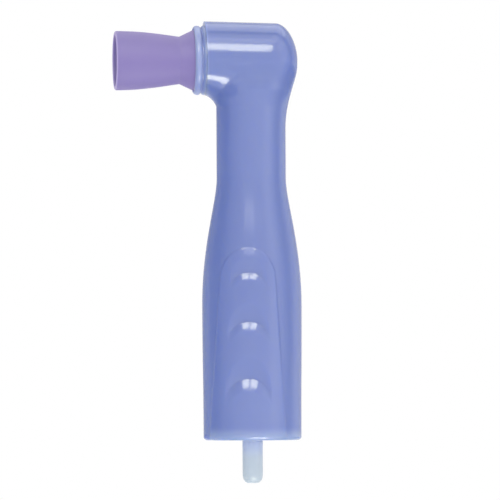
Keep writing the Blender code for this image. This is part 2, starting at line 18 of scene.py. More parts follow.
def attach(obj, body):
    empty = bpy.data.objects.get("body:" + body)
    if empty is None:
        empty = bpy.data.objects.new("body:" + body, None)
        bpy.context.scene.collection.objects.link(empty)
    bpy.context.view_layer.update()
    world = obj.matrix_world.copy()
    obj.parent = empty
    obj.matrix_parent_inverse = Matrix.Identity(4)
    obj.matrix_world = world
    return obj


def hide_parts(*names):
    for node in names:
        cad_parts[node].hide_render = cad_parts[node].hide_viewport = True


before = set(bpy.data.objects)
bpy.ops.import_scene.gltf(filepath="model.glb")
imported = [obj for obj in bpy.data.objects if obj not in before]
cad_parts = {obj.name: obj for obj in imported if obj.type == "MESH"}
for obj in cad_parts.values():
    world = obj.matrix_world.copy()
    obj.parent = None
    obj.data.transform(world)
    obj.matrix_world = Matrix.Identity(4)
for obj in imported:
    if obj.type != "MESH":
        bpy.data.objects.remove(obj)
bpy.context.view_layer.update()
print("packed nodes:", ", ".join(sorted(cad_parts)))

# %% [markdown]
# ## Camera
#
# The photograph is taken level, from far away, a few degrees round towards the cup, so that a sliver of
# the cup's inside shows. A long lens far back gives the same flat perspective. An orthographic camera
# would do as well, but a real lens keeps a hint of depth.

# %% Camera
VIEW_AZIMUTH = radians(-5.2)
VIEW_ROLL = radians(0.3)
VIEW_DISTANCE = 2.0
VIEW_WIDTH = 0.0577
VIEW_SHIFT_RIGHT = -0.000185
VIEW_HEIGHT = 0.02193
SENSOR = 36

view_right = Vector((cos(VIEW_AZIMUTH), sin(VIEW_AZIMUTH), 0))
view_back = Vector((sin(VIEW_AZIMUTH), -cos(VIEW_AZIMUTH), 0))
view_aim = view_right * VIEW_SHIFT_RIGHT + Vector((0, 0, VIEW_HEIGHT))

lens = bpy.data.cameras.new("camera")
lens.sensor_width = SENSOR
lens.lens = SENSOR * VIEW_DISTANCE / VIEW_WIDTH
camera = bpy.data.objects.new("camera", lens)
level = Matrix.Rotation(VIEW_AZIMUTH, 4, "Z") @ Matrix.Rotation(pi / 2, 4, "X")
turned_level = level @ Matrix.Rotation(-VIEW_ROLL, 4, "Z")
camera.matrix_world = Matrix.Translation(view_aim + view_back * VIEW_DISTANCE) @ turned_level
bpy.context.scene.collection.objects.link(camera)
bpy.context.scene.camera = camera
bpy.context.scene.view_settings.view_transform = "Standard"
print(f"lens {lens.lens:.0f} mm at {VIEW_DISTANCE} m")

# %% [markdown]
# ## Nodes as expressions
#
# Shader maths is easier to read as sums than as boxes and wires. A small class wraps a node's output, and
# its operators add Math nodes. Every other node comes from one method, which sets the node up first and
# then fills or links its sockets.


# %% Wires and nodes
class Wire:
    """An output socket that can be added and multiplied like a number."""

    def __init__(self, bench, socket):
        self.bench = bench
        self.socket = socket

    def maths(self, operation, first, second):
        return self.bench.node("Math", {"operation": operation}, {0: first, 1: second})

    def __add__(self, other):
        return self.maths("ADD", self, other)

    def __radd__(self, other):
        return self.maths("ADD", other, self)

    def __sub__(self, other):
        return self.maths("SUBTRACT", self, other)

    def __rsub__(self, other):
        return self.maths("SUBTRACT", other, self)

    def __mul__(self, other):
        return self.maths("MULTIPLY", self, other)

    def __rmul__(self, other):
        return self.maths("MULTIPLY", other, self)


class Bench:
    """One node tree, and the method that makes its nodes."""

    def __init__(self, owner):
        owner.use_nodes = True
        self.tree = owner.node_tree
        self.tree.nodes.clear()

    def node(self, kind, settings=None, sockets=None, output=0):
        made = self.tree.nodes.new("ShaderNode" + kind)
        for name, value in (settings or {}).items():
            if name == "stops":
                self.lay_stops(made.color_ramp, value)
            else:
                setattr(made, name, value)
        for key, value in (sockets or {}).items():
            if isinstance(value, Wire):
                self.tree.links.new(value.socket, made.inputs[key])
            else:
                made.inputs[key].default_value = value
        return Wire(self, made.outputs[output]) if made.outputs else None

    def lay_stops(self, ramp, stops):
        """Fill a ramp with (place, grey level) stops, in rising order."""
        ramp.interpolation = "EASE"
        while len(ramp.elements) < len(stops):
            ramp.elements.new(1.0)
        for element, (place, grey) in zip(ramp.elements, stops):
            element.position = place
            element.color = (grey, grey, grey, 1.0)


print("sums on wires: plus, minus and times")

# %% Colours and steps
WHITE = (1, 1, 1)
MIX_FACTOR, MIX_LOW, MIX_HIGH, MIX_RESULT = 0, 6, 7, 2


def colour(red, green, blue):
    return (red, green, blue, 1.0)


def blend_colours(bench, factor, low, high):
    settings = {"data_type": "RGBA", "clamp_factor": True}
    sockets = {MIX_FACTOR: factor, MIX_LOW: low, MIX_HIGH: high}
    return bench.node("Mix", settings, sockets, MIX_RESULT)


def smooth_step(bench, value, start, end):
    """0 before the start and 1 past the end, eased in between."""
    sockets = {"Value": value, "From Min": start, "From Max": end}
    return bench.node("MapRange", {"interpolation_type": "SMOOTHSTEP"}, sockets)


print("helpers for colours and steps ready")

# %% [markdown]
# ## Stage
#
# The photograph has a pure white ground and no shadow in its frame. To the eye the world is white, and to
# everything else it is a soft grey, so the white costs no extra light on the object. Gloss shows the
# studio round the object: white paper behind it, dark walls at the sides and a bright room behind the
# camera. That is a ramp over the compass, and it gives the plastic its pale rims and the deeper bands
# beside them. A second ramp, over the height, dims the room a little above eye level and overhead, where
# the dark walls also open to a paler ceiling. The floor is white paper that throws some light back up. In
# the gloss it is bright in front of the object and dark beside it. An image of a studio would do the
# same, but it could not be tuned.

# %% World
AMBIENT = 0.83
BRIGHTEST = 2.6
COMPASS = (
    (-180, 0.9),
    (-165, 0.5),
    (-150, 0.4),
    (-124, 0.45),
    (-110, 0.2),
    (-94, 0.2),
    (-82, 0.55),
    (-72, 0.97),
    (-60, 1.2),
    (-42, 1.6),
    (-22, 1.85),
    (0, 2.05),
    (30, 2.15),
    (43, 2.6),
    (54, 2.5),
    (66, 1.9),
    (80, 1.1),
    (92, 0.7),
    (100, 0.85),
    (112, 1.2),
    (124, 1.1),
    (145, 0.7),
    (180, 0.9),
)
ALTITUDE = (
    (-90, 1.0),
    (-2, 1.0),
    (4, 0.93),
    (19, 0.93),
    (28, 1.0),
    (74, 1.0),
    (84, 0.65),
    (90, 0.55),
)
CEILING = 1.0
CEILING_RISE = (0.2, 0.55)


def ray_kinds(bench):
    """1 where a camera ray looks at the surface, and 1 where a reflected or refracted ray does."""
    path = bench.node("LightPath")
    outputs = path.socket.node.outputs
    names = ("Is Camera Ray", "Is Glossy Ray", "Is Transmission Ray")
    camera_ray, glossy, refracted = [Wire(bench, outputs[name]) for name in names]
    return camera_ray, glossy + refracted


def by_compass(bench, rightward, backward, levels):
    """A level that changes with the direction seen from above, from (degrees, level) pairs."""
    angle = rightward.maths("ARCTAN2", rightward, 0 - backward)
    stops = [(degrees / 360 + 0.5, level / BRIGHTEST) for degrees, level in levels]
    return bench.node("ValToRGB", {"stops": stops}, {0: angle * (0.5 / pi) + 0.5}) * BRIGHTEST


world = bpy.data.worlds.new("studio")
bpy.context.scene.world = world
sky = Bench(world)
direct, mirrored = ray_kinds(sky)
outward = sky.node("SeparateXYZ", None, {0: sky.node("TexCoord", output="Generated")}).socket.node.outputs
rightward, backward, above = [Wire(sky, output) for output in outward]
around = by_compass(sky, rightward, backward, COMPASS)
stops = [(sin(radians(degrees)) / 2 + 0.5, level) for degrees, level in ALTITUDE]
open_above = smooth_step(sky, above, *CEILING_RISE)
round_and_over = around.maths("MAXIMUM", around, open_above * CEILING)
studio = round_and_over * sky.node("ValToRGB", {"stops": stops}, {0: above * 0.5 + 0.5})
strength = direct + (1 - direct) * (mirrored * studio + (1 - mirrored) * AMBIENT)
sky_light = sky.node("Background", None, {"Color": colour(*WHITE), "Strength": strength})
sky.node("OutputWorld", None, {"Surface": sky_light})
print("world ready, with", len(COMPASS), "compass points")

# %% Floor
FLOOR_HEIGHT = -0.1
FLOOR_HALF_WIDTH = 0.6
PAPER_COLOUR = (0.85, 0.85, 0.85)
PAPER_GLOW = 0.5
PAPER_WHITE = 1.3
PAPER_BOUNCE = 0.45
PAPER_BOUNCE_LEVEL = 1.3
PAPER_BACK = 0.01
PAPER_COMPASS = (
    (-180, 1.2),
    (-142, 0.5),
    (-115, 0.15),
    (-75, 0.05),
    (-45, 0.6),
    (-22, 1.85),
    (45, 1.95),
    (70, 1.1),
    (90, 0.4),
    (125, 0.3),
    (155, 0.9),
    (180, 1.2),
)

paper = bpy.data.materials.new("white_paper")
sheet = Bench(paper)
direct, mirrored = ray_kinds(sheet)
lit = sheet.node("BsdfDiffuse", None, {"Color": colour(*PAPER_COLOUR)})
on_sheet = sheet.node("SeparateXYZ", None, {0: sheet.node("TexCoord", output="Object")})
rightward, backward = [Wire(sheet, output) for output in on_sheet.socket.node.outputs[:2]]
gloss = by_compass(sheet, rightward, backward - PAPER_BACK, PAPER_COMPASS)
scattered = 1 - direct - mirrored
paper_level = direct * PAPER_WHITE + mirrored * gloss + scattered * PAPER_BOUNCE_LEVEL
glow_level = {"Color": colour(*WHITE), "Strength": paper_level}
glow = sheet.node("Emission", None, glow_level)
glow_share = direct * PAPER_GLOW + mirrored + scattered * PAPER_BOUNCE
both = sheet.node("MixShader", None, {0: glow_share, 1: lit, 2: glow})
sheet.node("OutputMaterial", None, {"Surface": both})

bm = bmesh.new()
bmesh.ops.create_grid(bm, x_segments=1, y_segments=1, size=FLOOR_HALF_WIDTH)
bmesh.ops.translate(bm, verts=bm.verts, vec=(0, 0, FLOOR_HEIGHT))
floor_mesh = bpy.data.meshes.new("floor")
bm.to_mesh(floor_mesh)
bm.free()
floor_mesh.materials.append(paper)
floor = bpy.data.objects.new("floor", floor_mesh)
bpy.context.scene.collection.objects.link(floor)
print("floor at", FLOOR_HEIGHT)

# %% [markdown]
# ## Lights
#
# The gloss tells where the studio's lamps stood. A white bar on the head and a small split window in each
# finger scoop come from one softbox pair above the camera. A weak skirt over it and a weak apron under it
# soften the bar's edges. A wide lamp above the back lights the crown, and a small one below gives the
# highlight under the head. These are kept to the gloss. Two big, soft fills, hidden from the gloss, light
# the plastic itself from the front and from behind.

# %% Lamps
LIGHT_AIM = Vector((0, 0, 0.03))


def softbox(name, place, size, watts, slide=0.0, tint=WHITE):
    """An area lamp aimed at the object from (azimuth, elevation, distance), then slid sideways."""
    azimuth, elevation, distance = place
    turn = radians(azimuth)
    lift = radians(elevation)
    towards = Vector((sin(turn) * cos(lift), -cos(turn) * cos(lift), sin(lift)))
    lamp = bpy.data.lights.new(name, "AREA")
    lamp.shape = "RECTANGLE"
    lamp.size, lamp.size_y = size
    lamp.energy = watts
    lamp.color = tint
    facing = (-towards).to_track_quat("-Z", "Y").to_matrix().to_4x4()
    stand = bpy.data.objects.new(name, lamp)
    sideways = Matrix.Translation((slide, 0, 0))
    stand.matrix_world = Matrix.Translation(LIGHT_AIM + towards * distance) @ facing @ sideways
    stand.visible_camera = False
    bpy.context.scene.collection.objects.link(stand)
    return stand


KEY_PLACE = (-10.75, 40, 0.35)
KEY_SIZE = (0.1255, 0.13)
KEY_GAP = 0.023
KEY_WATTS = 0.42
KEY_WARMTH = (1, 1, 0.76)
key_slide = (KEY_SIZE[0] + KEY_GAP) / 2
gloss_lamps = [
    softbox("key_left", KEY_PLACE, KEY_SIZE, KEY_WATTS, slide=-key_slide, tint=KEY_WARMTH),
    softbox("key_right", KEY_PLACE, KEY_SIZE, KEY_WATTS, slide=key_slide, tint=KEY_WARMTH),
    softbox("key_skirt", place=(-10.75, 62, 0.35), size=(0.29, 0.1), watts=0.12),
    softbox("key_apron", place=(-12, 24, 0.35), size=(0.17, 0.052), watts=0.05),
    softbox("top_lamp", place=(180, 66, 0.5), size=(0.9, 0.36), watts=1.3),
    softbox("under_lamp", place=(13, -57, 0.13), size=(0.06, 0.034), watts=0.07, tint=KEY_WARMTH),
]
for lamp in gloss_lamps:
    lamp.visible_diffuse = False
fills = [
    softbox("front_fill", place=(8, 5, 0.6), size=(0.45, 0.5), watts=0.72),
    softbox("back_fill", place=(180, 20, 0.6), size=(0.45, 0.5), watts=0.35),
]
for lamp in fills:
    lamp.visible_glossy = False
print("lamps:", len(bpy.data.lights))

# %% [markdown]
# ## Finishes
#
# The body is a translucent periwinkle plastic with a high gloss. Light sinks in and spreads a little,
# which softens its shading, so it gets some subsurface scattering. The colour drifts very slightly, as
# pigment does where plastic flowed into the mould, and the gloss has the faint waviness of a moulded
# skin. Rims let more light through, and thick places less, and fades along an axis paint that light into
# the colour: a painted glow on thin rims, a painted highlight on the cup's rim, and painted light and
# shade on the shaft's tail. The cap's fade is its own colour: its shoulder takes the body's tint.


# %% A plastic from its own numbers
DRIFT_DETAIL = 2.0
SKIN_DETAIL = 3.0


def finish(name, tints, roughness, drift, skin, constants, tint_and_light_fades=()):
    """Plastic or rubber whose colour drifts between two tints, with a fine skin in its gloss. Fades along
    an
    axis blend in further tints: most paint light and shade into the colour, and one is a plain change of
    tint.
    """
    material = bpy.data.materials.new(name)
    bench = Bench(material)
    place = bench.node("TexCoord", output="Object")
    flow = bench.node("TexNoise", None, {"Vector": place, "Scale": drift, "Detail": DRIFT_DETAIL})
    grain = {"Vector": place, "Scale": skin["scale"], "Detail": SKIN_DETAIL}
    fine = bench.node("TexNoise", None, grain)
    base = blend_colours(bench, flow, colour(*tints[0]), colour(*tints[1]))
    # Each fade blends a tint in along one axis; most paint a glow, a highlight or shade into the colour.
    for tint_and_light_fade in tint_and_light_fades:
        along = bench.node("SeparateXYZ", None, {0: place}, output=tint_and_light_fade["axis"])
        tint_and_light_share = smooth_step(bench, along, tint_and_light_fade["start"], tint_and_light_fade["end"])
        base = blend_colours(bench, tint_and_light_share, base, colour(*tint_and_light_fade["tint"]))
    bump = {"Strength": skin["strength"], "Distance": skin["height"], "Height": fine}
    sockets = {
        "Base Color": base,
        "Roughness": fine * roughness[1] + roughness[0],
        "Normal": bench.node("Bump", None, bump),
    }
    sockets.update(constants)
    shader = bench.node("BsdfPrincipled", None, sockets)
    bench.node("OutputMaterial", None, {"Surface": shader})
    return material


print("noise detail:", DRIFT_DETAIL, "in the colour,", SKIN_DETAIL, "in the skin")

# %% Body and cap
body_plastic = finish(
    "body_plastic",
    tints=[(0.165, 0.229, 0.542), (0.177, 0.243, 0.564)],
    roughness=(0.10, 0.06),
    drift=180.0,
    skin={"scale": 700.0, "strength": 0.2, "height": 0.00002},
    constants={
        "IOR": 1.58,
        "Subsurface Weight": 1.0,
        "Subsurface Radius": (0.4, 0.55, 1.0),
        "Subsurface Scale": 0.0015,
    },
    tint_and_light_fades=[
        # paler towards the sleeve's lower end
        {"axis": "Z", "start": 0.014, "end": 0.003, "tint": (0.184, 0.251, 0.57)},
        # a painted glow on the sleeve's bottom rim
        {"axis": "Z", "start": 0.0016, "end": 0.0002, "tint": (0.33, 0.415, 0.645)},
        # a painted glow on the rim at the head's mouth
        {"axis": "X", "start": -0.0050, "end": -0.0053, "tint": (0.195, 0.262, 0.575)},
    ],
)
cap_plastic = finish(
    "cap_plastic",
    tints=[(0.30, 0.365, 0.64), (0.33, 0.395, 0.67)],
    roughness=(0.26, 0.06),
    drift=300.0,
    skin={"scale": 900.0, "strength": 0.2, "height": 0.00002},
    constants={
        "IOR": 1.58,
        "Subsurface Weight": 1.0,
        "Subsurface Radius": (0.5, 0.6, 1.0),
        "Subsurface Scale": 0.001,
    },
    tint_and_light_fades=[{"axis": "X", "start": -0.0059, "end": -0.00578, "tint": (0.235, 0.305, 0.64)}],
)
print("body plastic:", len(body_plastic.node_tree.nodes), "nodes")

# %% Cup, shaft and inner pieces
cup_rubber = finish(
    "cup_rubber",
    tints=[(0.259, 0.211, 0.488), (0.28, 0.23, 0.515)],
    roughness=(0.5, 0.1),
    drift=260.0,
    skin={"scale": 2500.0, "strength": 0.3, "height": 0.00002},
    constants={
        "IOR": 1.42,
        "Subsurface Weight": 0.6,
        "Subsurface Radius": (0.8, 0.7, 1.0),
        "Subsurface Scale": 0.0006,
    },
    # a painted highlight on the rim, and painted light on the wall just inside it
    tint_and_light_fades=[{"axis": "X", "start": -0.01557, "end": -0.0157, "tint": (0.45, 0.39, 0.66)}],
)
natural_plastic = finish(
    "natural_plastic",
    tints=[(0.57, 0.65, 0.74), (0.61, 0.69, 0.77)],
    roughness=(0.3, 0.1),
    drift=300.0,
    skin={"scale": 1500.0, "strength": 0.2, "height": 0.00002},
    constants={
        "IOR": 1.5,
        "Subsurface Weight": 1.0,
        "Subsurface Radius": (1.0, 1.0, 1.0),
        "Subsurface Scale": 0.001,
    },
    tint_and_light_fades=[
        # painted shade: darker towards the tip
        {"axis": "Z", "start": 0.0, "end": -0.005, "tint": (0.535, 0.615, 0.69)},
        # painted light: lighter and bluer just under the sleeve
        {"axis": "Z", "start": -0.0024, "end": 0.0, "tint": (0.6, 0.69, 0.93)},
    ],
)
white_plastic = finish(
    "white_plastic",
    tints=[(0.62, 0.63, 0.63), (0.68, 0.69, 0.69)],
    roughness=(0.35, 0.1),
    drift=300.0,
    skin={"scale": 1500.0, "strength": 0.2, "height": 0.00002},
    constants={"IOR": 1.48, "Subsurface Weight": 0.3, "Subsurface Scale": 0.0008},
)
print("finishes:", len(bpy.data.materials))

# %% [markdown]
# ## Sizes of the body
#
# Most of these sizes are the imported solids' own, in metres. The edges and the head's drum and flanks are
# finer here. The body is a sleeve that flares in to a neck, and the neck turns through a right angle into
# the head's drum. Its outline is a few arcs and Bezier spans, and every cross-section is an oval between
# a point on the front outline and one on the back outline.

# %% Body sizes
SLEEVE_RADIUS = 0.00566
SLEEVE_EDGE_ROUND = 0.0004
GRIP_RADIUS = 0.00575
GRIP_HEIGHT = 0.0155
FLARE_LENGTH = 0.0147
FLARE_LOW_PULL = 0.48
FLARE_HIGH_PULL = 0.18
NECK_RADIUS = 0.0040
NECK_LENGTH = 0.00825
HEAD_RADIUS = 0.00427
HEAD_RISE = 0.00023
HEAD_FRONT = 0.00535
HEAD_BACK = 0.00535
HEAD_TOP_FALL = 0.00025
HEAD_EDGE_ROUND = 0.00006
CORNER_FULLNESS = 0.13
DRUM_END = 0.0008
DRUM_POWER = 3
DRUM_BLEND = 0.0035
FLANK_SHARE = 0.6
FLANK_DROP = 0.0040
FLANK_RISE = 0.0025
FLANK_ENDS = 0.0008
FLANK_FILLET = 0.0004
BACK_DROP = 0.0080
BACK_LOW_PULL = 0.0036
BACK_HIGH_PULL = 0.0028
CROWN_BACK = 0.0028
CROWN_LOW_PULL = 0.0021
CROWN_HIGH_PULL = 0.0014

corner_fillet = HEAD_FRONT - NECK_RADIUS
flare_top = GRIP_HEIGHT + FLARE_LENGTH
corner_height = flare_top + NECK_LENGTH
head_bottom = corner_height + corner_fillet
head_top = head_bottom + 2 * HEAD_RADIUS
head_axis = head_bottom + HEAD_RADIUS - HEAD_RISE
print(f"cup axis at {head_axis * 1000:.2f} mm, head top at {head_top * 1000:.2f} mm")


# %% Outlines
EDGE_STEPS = 8
BARREL_STEPS = 110
FLARE_STEPS = 90
BACK_STEPS = 36
CROWN_STEPS = 30
TOP_STEPS = 24
MOUTH_STEPS = 6


def ease(amount):
    """0 to 1 with soft ends."""
    amount = min(max(amount, 0.0), 1.0)
    return amount * amount * (3 - 2 * amount)


def arc(centre, radius, start, end, steps):
    """Points from one angle to another, in degrees, around a centre."""
    angles = [radians(start + (end - start) * i / steps) for i in range(steps + 1)]
    return [(centre[0] + radius * cos(a), centre[1] + radius * sin(a)) for a in angles]


def span(start, start_handle, end_handle, end, steps):
    """Points of one Bezier span after its first point."""
    knots = [Vector(point) for point in (start, start_handle, end_handle, end)]
    return [tuple(point) for point in interpolate_bezier(*knots, steps + 1)][1:]


def sleeve_outline():
    edge_centre = (SLEEVE_RADIUS - SLEEVE_EDGE_ROUND, SLEEVE_EDGE_ROUND)
    edge = arc(edge_centre, SLEEVE_EDGE_ROUND, -90, 0, EDGE_STEPS)
    middle = (SLEEVE_EDGE_ROUND + GRIP_HEIGHT) / 2
    low, high = (SLEEVE_RADIUS, middle), (GRIP_RADIUS, middle)
    barrel = span(edge[-1], low, high, (GRIP_RADIUS, GRIP_HEIGHT), BARREL_STEPS)
    low = (GRIP_RADIUS, GRIP_HEIGHT + FLARE_LOW_PULL * FLARE_LENGTH)
    high = (NECK_RADIUS, flare_top - FLARE_HIGH_PULL * FLARE_LENGTH)
    return edge + barrel + span(barrel[-1], low, high, (NECK_RADIUS, flare_top), FLARE_STEPS)


def head_outline():
    start = (NECK_RADIUS, head_axis - BACK_DROP)
    back = (HEAD_BACK, head_axis)
    crown = (CROWN_BACK, head_top - HEAD_TOP_FALL)
    low, high = (NECK_RADIUS, start[1] + BACK_LOW_PULL), (HEAD_BACK, head_axis - BACK_HIGH_PULL)
    lower = span(start, low, high, back, BACK_STEPS)
    low, high = (HEAD_BACK, head_axis + CROWN_LOW_PULL), (CROWN_BACK + CROWN_HIGH_PULL, crown[1])
    upper = span(back, low, high, crown, CROWN_STEPS)
    mouth = (-HEAD_FRONT, head_top)
    return [start] + lower + upper + span(crown, crown, mouth, mouth, TOP_STEPS)


def body_ovals():
    """(front point, back point, half depth) of each cross-section, from the sleeve to the mouth."""
    ovals = [((-x, z), (x, z), x) for x, z in sleeve_outline()]
    corner = Vector((-HEAD_FRONT, corner_height))
    for x, z in head_outline():
        front, depth = Vector((-NECK_RADIUS, z)), NECK_RADIUS
        if z > corner_height:
            reach = Vector((x, z)) - corner
            turn = atan2(reach.y, reach.x)
            fillet = corner_fillet * (1 - CORNER_FULLNESS * sin(2 * turn))
            front = corner + reach.normalized() * fillet
            depth = NECK_RADIUS + (HEAD_RADIUS - NECK_RADIUS) * min(sin(turn) / sin(pi / 4), 1)
        ovals.append((tuple(front), (x, z), depth))
    front, back, depth = ovals.pop()
    edge_centre = (HEAD_EDGE_ROUND, HEAD_EDGE_ROUND)
    for setback, inset in arc(edge_centre, HEAD_EDGE_ROUND, 270, 180, MOUTH_STEPS):
        upper = (back[0] + setback - HEAD_EDGE_ROUND, back[1] - inset)
        ovals.append(((front[0], front[1] + inset), upper, depth - inset))
    return ovals


print("cross-sections:", len(body_ovals()))

# %% [markdown]
# ## Grip tongue and finger scoops
#
# A raised tongue runs up the front and the back of the sleeve, and three finger scoops are sunk in it. In
# the mould these are one smooth skin, so they are pressed into the fine mesh as heights: how far each
# point of the barrel is lifted by the tongue and lowered by a scoop. Cutting them with Booleans would
# leave hard edges.

# %% Grip sizes
PAD_HEIGHT = 0.0001
PAD_EDGE = 0.00024
PAD_OFFSET = -0.00087
PAD_FOOT = 0.0006
PAD_FOOT_HALF_WIDTH = 0.0043
PAD_SPRING_HEIGHT = 0.0184
PAD_SPRING_HALF_WIDTH = 0.00315
PAD_ARCH_HEIGHT = 0.00378
PAD_MELT = 0.76
PAD_MELT_POWER = 4
SCOOP_COUNT = 3
SCOOP_SHRINK = 0.86
SCOOP_WING_HEIGHT = 0.00585
SCOOP_PITCH = 0.00675
SCOOP_HEIGHT = 0.00379
SCOOP_HALF_WIDTH = 0.0026
SCOOP_NARROWING = 0.7
SCOOP_DEPTH = 0.00053
SCOOP_VALLEY = 0.00122
SCOOP_LEGS = 0.0016
SCOOP_ROUNDNESS = 2.5
SCOOP_LEDGE = 0.00162
SCOOP_LEDGE_BEND = 1.35
SCOOP_VALLEY_SOFTNESS = 0.04
SCOOP_EDGE_SOFTNESS = 0.08
BETWEEN_SCOOPS = 0.012


def soft_above(amount):
    """The amount where it is above 0, with a rounded start."""
    if amount <= 0:
        return 0.0
    return (amount + hypot(amount, SCOOP_EDGE_SOFTNESS) - SCOOP_EDGE_SOFTNESS) / 2


def tongue_inset(x, z):
    """How far inside the tongue's outline a point lies."""
    aside = x - PAD_OFFSET
    if z <= PAD_SPRING_HEIGHT:
        spread = (PAD_FOOT_HALF_WIDTH - PAD_SPRING_HALF_WIDTH) / (PAD_SPRING_HEIGHT - PAD_FOOT)
        return PAD_SPRING_HALF_WIDTH + spread * (PAD_SPRING_HEIGHT - z) - abs(aside)
    rise = z - PAD_SPRING_HEIGHT
    share = hypot(aside / PAD_SPRING_HALF_WIDTH, rise / PAD_ARCH_HEIGHT)
    steepness = hypot(aside / PAD_SPRING_HALF_WIDTH**2, rise / PAD_ARCH_HEIGHT**2)
    return (1 - share) * share / max(steepness, 1.0)


def scoop_sink(x, z):
    """Depth of the finger scoops: an arch falls to a valley, and a ledge rises from it to the lip."""
    wing, sink = SCOOP_WING_HEIGHT, 0.0
    for size in [SCOOP_SHRINK**k for k in range(SCOOP_COUNT)]:
        across = abs(x - PAD_OFFSET) / (SCOOP_HALF_WIDTH * size**SCOOP_NARROWING)
        if across < 1:
            drop = across**SCOOP_ROUNDNESS
            valley = wing + size * (SCOOP_VALLEY - SCOOP_LEGS * drop)
            top = wing + size * SCOOP_HEIGHT * sqrt(1 - across**2)
            ledge = 1 - (valley - z) / (SCOOP_LEDGE * size**2)
            rising = max(ledge, 0.0) ** SCOOP_LEDGE_BEND
            arch = (top - z) / (top - valley)
            bowl = (rising + arch - hypot(rising - arch, SCOOP_VALLEY_SOFTNESS)) / 2
            sink += SCOOP_DEPTH * size**2 * (1 - drop) * soft_above(bowl)
        wing += SCOOP_PITCH * size
    return sink


def grip_height(x, z):
    """How far the grip lifts the barrel's skin."""
    foot = ease((z - PAD_FOOT / 4) / PAD_FOOT)
    up_the_arch = max(z - PAD_SPRING_HEIGHT, 0) / PAD_ARCH_HEIGHT
    melt = 1 - PAD_MELT * ease(up_the_arch**PAD_MELT_POWER)
    lift = PAD_HEIGHT * foot * melt * ease(tongue_inset(x, z) / PAD_EDGE + 0.5)
    return lift - scoop_sink(x, z)


print(f"grip lifts {grip_height(PAD_OFFSET, BETWEEN_SCOOPS) * 1000:.2f} mm between the scoops")

# %% [markdown]
# ## Housing
#
# The skin starts as a flat grid. Each of its rows is rolled on one oval, up the sleeve and round the
# corner into the head, and the two long sides are welded. Extruding a circle from oval to oval gives the
# same skin, but far more slowly on so fine a mesh. Then the head is swelled to a straight drum with a
# domed back, and the grip is pressed in. Last, both ends are filled, and the bores for the handpiece, the
# shaft and the gears are cut with turned cutters.

# %% Housing skin
BODY_SEGMENTS = 200
EDGE_BAND = 0.0003
MERGE = 0.0000005


def oval_matrix(front, back, depth):
    """Lays a unit circle on an oval cross-section."""
    centre = (Vector(front) + Vector(back)) / 2
    reach = (Vector(back) - Vector(front)) / 2
    along, across = Vector((reach.x, 0, reach.y)), Vector((0, depth, 0))
    axes = Matrix((along, across, along.cross(across).normalized())).transposed().to_4x4()
    return Matrix.Translation((centre.x, 0, centre.y)) @ axes


def between(knots, values, place):
    """The value at a place between rising knots, on straight lines."""
    number = min(max(bisect(knots, place), 1), len(knots) - 1)
    share = (place - knots[number - 1]) / (knots[number] - knots[number - 1])
    return values[number - 1] + (values[number] - values[number - 1]) * share


def swell_drum(bm):
    """Keep the head a straight drum on past the neck, and close its back with a dome."""
    top_outline = [(x, z) for x, z in head_outline() if z >= head_axis]
    reaches, heights = zip(*reversed(top_outline))
    for vert in bm.verts:
        x, y, z = vert.co
        above = z - head_axis
        share = ease(above / DRUM_BLEND + 1) * ease(x / DRUM_BLEND + 1)
        if share:
            reach = between(reaches, heights, x) - head_axis if above > 0 else HEAD_RADIUS
            dome = max(x - DRUM_END, 0) / (HEAD_BACK - DRUM_END)
            depth = HEAD_RADIUS * max(1 - dome**DRUM_POWER, 0) ** (1 / DRUM_POWER)
            depth *= sqrt(max(1 - (above / max(reach, MERGE)) ** 2, 0))
            vert.co.y += ((depth if y > 0 else -depth) - y) * share


def straighten_flank(bm):
    """Draw the head's lower flank in towards a straight drum, up to where it meets the round neck."""
    mouth = HEAD_EDGE_ROUND - HEAD_FRONT
    for vert in bm.verts:
        x, y, z = vert.co
        below = head_axis - z
        if mouth < x < 0 and 0 < below < FLANK_DROP:
            drum = sqrt(HEAD_RADIUS**2 - (below + HEAD_RISE) ** 2)
            neck = sqrt(max(NECK_RADIUS**2 - x**2, 0))
            depth = (drum + neck + hypot(drum - neck, FLANK_FILLET)) / 2
            share = FLANK_SHARE * ease((FLANK_DROP - below) / FLANK_RISE) * ease(below / FLANK_ENDS)
            share *= ease((x - mouth) / FLANK_ENDS) * ease(-x / (2 * FLANK_ENDS))
            vert.co.y += ((depth if y > 0 else -depth) - y) * share


def on_grip_detail(place):
    """True near the tongue's outline and in the scoops, where the skin needs finer faces."""
    near_edge = abs(tongue_inset(place.x, place.z)) < EDGE_BAND and PAD_FOOT < place.z
    return near_edge or scoop_sink(place.x, place.z) > 0


def press_grip(bm):
    """Refine the barrel where the grip has detail, set it back on its circle, and lift or sink it."""
    top = PAD_SPRING_HEIGHT + PAD_ARCH_HEIGHT + EDGE_BAND
    barrel = [face for face in bm.faces if face.calc_center_median().z < top]
    detailed = [face for face in barrel if on_grip_detail(face.calc_center_median())]
    edges = list({edge for face in detailed for edge in face.edges})
    bmesh.ops.subdivide_edges(bm, edges=edges, cuts=1, use_grid_fill=True)
    radii, heights = zip(*sleeve_outline())
    for vert in bm.verts:
        x, y, z = vert.co
        if heights[0] < z < top:
            lifted = between(heights, radii, z) + grip_height(x, z)
            vert.co = Vector((x, y, 0)) * (lifted / hypot(x, y)) + Vector((0, 0, z))


